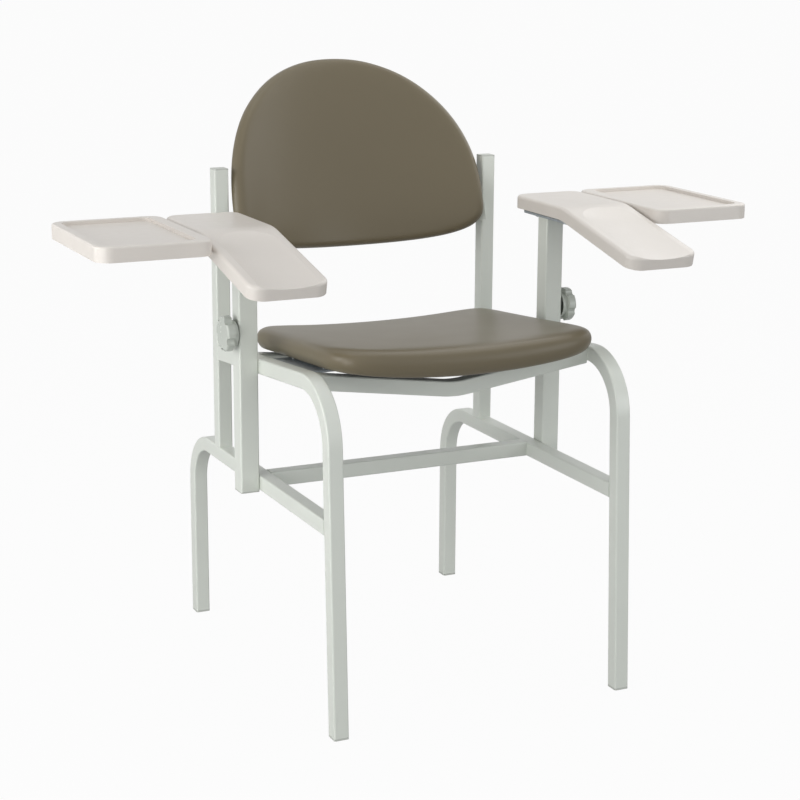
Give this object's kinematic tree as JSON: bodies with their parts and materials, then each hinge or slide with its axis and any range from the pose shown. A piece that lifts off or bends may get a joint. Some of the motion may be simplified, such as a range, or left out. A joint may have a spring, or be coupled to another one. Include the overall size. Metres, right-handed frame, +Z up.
{
  "type": "phlebotomy chair",
  "caption": "Square-tube chair with a hollowed seat, a wrapping back and height-adjustable arms, each with a sloped pad and a fold-down tray.",
  "frame": {"origin": "middle of the footprint of the frame, on the floor", "axes": "+Z up, the sitter faces -Y, +X towards the sitter's left arm"},
  "size_m": [1.011, 0.587, 0.8792],
  "materials": {
    "frame_paint": "satin powder coat",
    "upholstery": "satin vinyl",
    "arm_plastic": "satin",
    "plate_steel": "satin",
    "knob_grey": "glossy moulded",
    "hardware": "zinc plated",
    "board": "black stained plywood",
    "grey_plug": "moulded",
    "tip_nylon": "moulded"
  },
  "bodies": {
    "frame": {"left_front_leg": "frame_paint", "right_front_leg": "frame_paint", "left_rear_leg": "frame_paint", "right_rear_leg": "frame_paint", "left_back_upright": "frame_paint", "right_back_upright": "frame_paint", "left_upright_cap": "grey_plug", "right_upright_cap": "grey_plug", "left_front_foot": "grey_plug", "right_front_foot": "grey_plug", "left_rear_foot": "grey_plug", "right_rear_foot": "grey_plug", "cross_stretcher": "frame_paint", "front_seat_rail": "frame_paint", "rear_seat_rail": "frame_paint", "left_seat_plate": "plate_steel", "right_seat_plate": "plate_steel", "seat_board": "board", "seat_cushion": "upholstery", "seat_screws": "hardware", "back_strap": "frame_paint", "back_board": "board", "back_cushion": "upholstery", "back_screws": "hardware", "left_arm_sleeve": "frame_paint", "right_arm_sleeve": "frame_paint", "left_sleeve_plug": "grey_plug", "right_sleeve_plug": "grey_plug", "left_clamp_nut": "hardware", "right_clamp_nut": "hardware"},
    "left_arm": {"left_arm_post": "frame_paint", "left_arm_plate": "plate_steel", "left_arm_pad": "arm_plastic", "left_arm_screws": "hardware", "left_pad_hinge_leaf": "hardware", "left_hinge_pin": "hardware"},
    "left_tray_leaf": {"left_tray": "arm_plastic", "left_tray_hinge_leaf": "hardware", "left_tray_screws": "hardware"},
    "left_tip": {"left_clamp_tip": "tip_nylon"},
    "left_clamp": {"left_clamp_knob": "knob_grey", "left_clamp_screw": "hardware"},
    "right_arm": {"right_arm_post": "frame_paint", "right_arm_plate": "plate_steel", "right_arm_pad": "arm_plastic", "right_arm_screws": "hardware", "right_pad_hinge_leaf": "hardware", "right_hinge_pin": "hardware"},
    "right_tray_leaf": {"right_tray": "arm_plastic", "right_tray_hinge_leaf": "hardware", "right_tray_screws": "hardware"},
    "right_tip": {"right_clamp_tip": "tip_nylon"},
    "right_clamp": {"right_clamp_knob": "knob_grey", "right_clamp_screw": "hardware"}
  },
  "joints": [
    {"name": "left_arm_height", "type": "slide", "parent": "frame", "child": "left_arm", "axis": [0, 0, 1], "range_m": [0, 0.18]},
    {"name": "left_tray_fold", "type": "hinge", "parent": "left_arm", "child": "left_tray_leaf", "pos_m": [0.34175, 0, 0.6545], "axis": [0, 1, 0], "range_deg": [0, 90]},
    {"name": "left_clamp_travel", "type": "slide", "parent": "frame", "child": "left_tip", "axis": [1, 0, 0], "range_m": [0, 0.0026]},
    {"name": "left_clamp_turn", "type": "hinge", "parent": "left_tip", "child": "left_clamp", "pos_m": [0.26235, -0.0057, 0.5185], "axis": [1, 0, 0], "range_deg": [0, 720]},
    {"name": "right_arm_height", "type": "slide", "parent": "frame", "child": "right_arm", "axis": [0, 0, 1], "range_m": [0, 0.18]},
    {"name": "right_tray_fold", "type": "hinge", "parent": "right_arm", "child": "right_tray_leaf", "pos_m": [-0.34175, 0, 0.6545], "axis": [0, -1, 0], "range_deg": [0, 90]},
    {"name": "right_clamp_travel", "type": "slide", "parent": "frame", "child": "right_tip", "axis": [-1, 0, 0], "range_m": [0, 0.0026]},
    {"name": "right_clamp_turn", "type": "hinge", "parent": "right_tip", "child": "right_clamp", "pos_m": [-0.26235, -0.0057, 0.5185], "axis": [-1, 0, 0], "range_deg": [0, 720]}
  ],
  "couplings": [
    {"joint": "left_clamp_travel", "follows": "left_clamp_turn", "m_per_rad": 0.00019894},
    {"joint": "right_clamp_travel", "follows": "right_clamp_turn", "m_per_rad": 0.00019894}
  ]
}
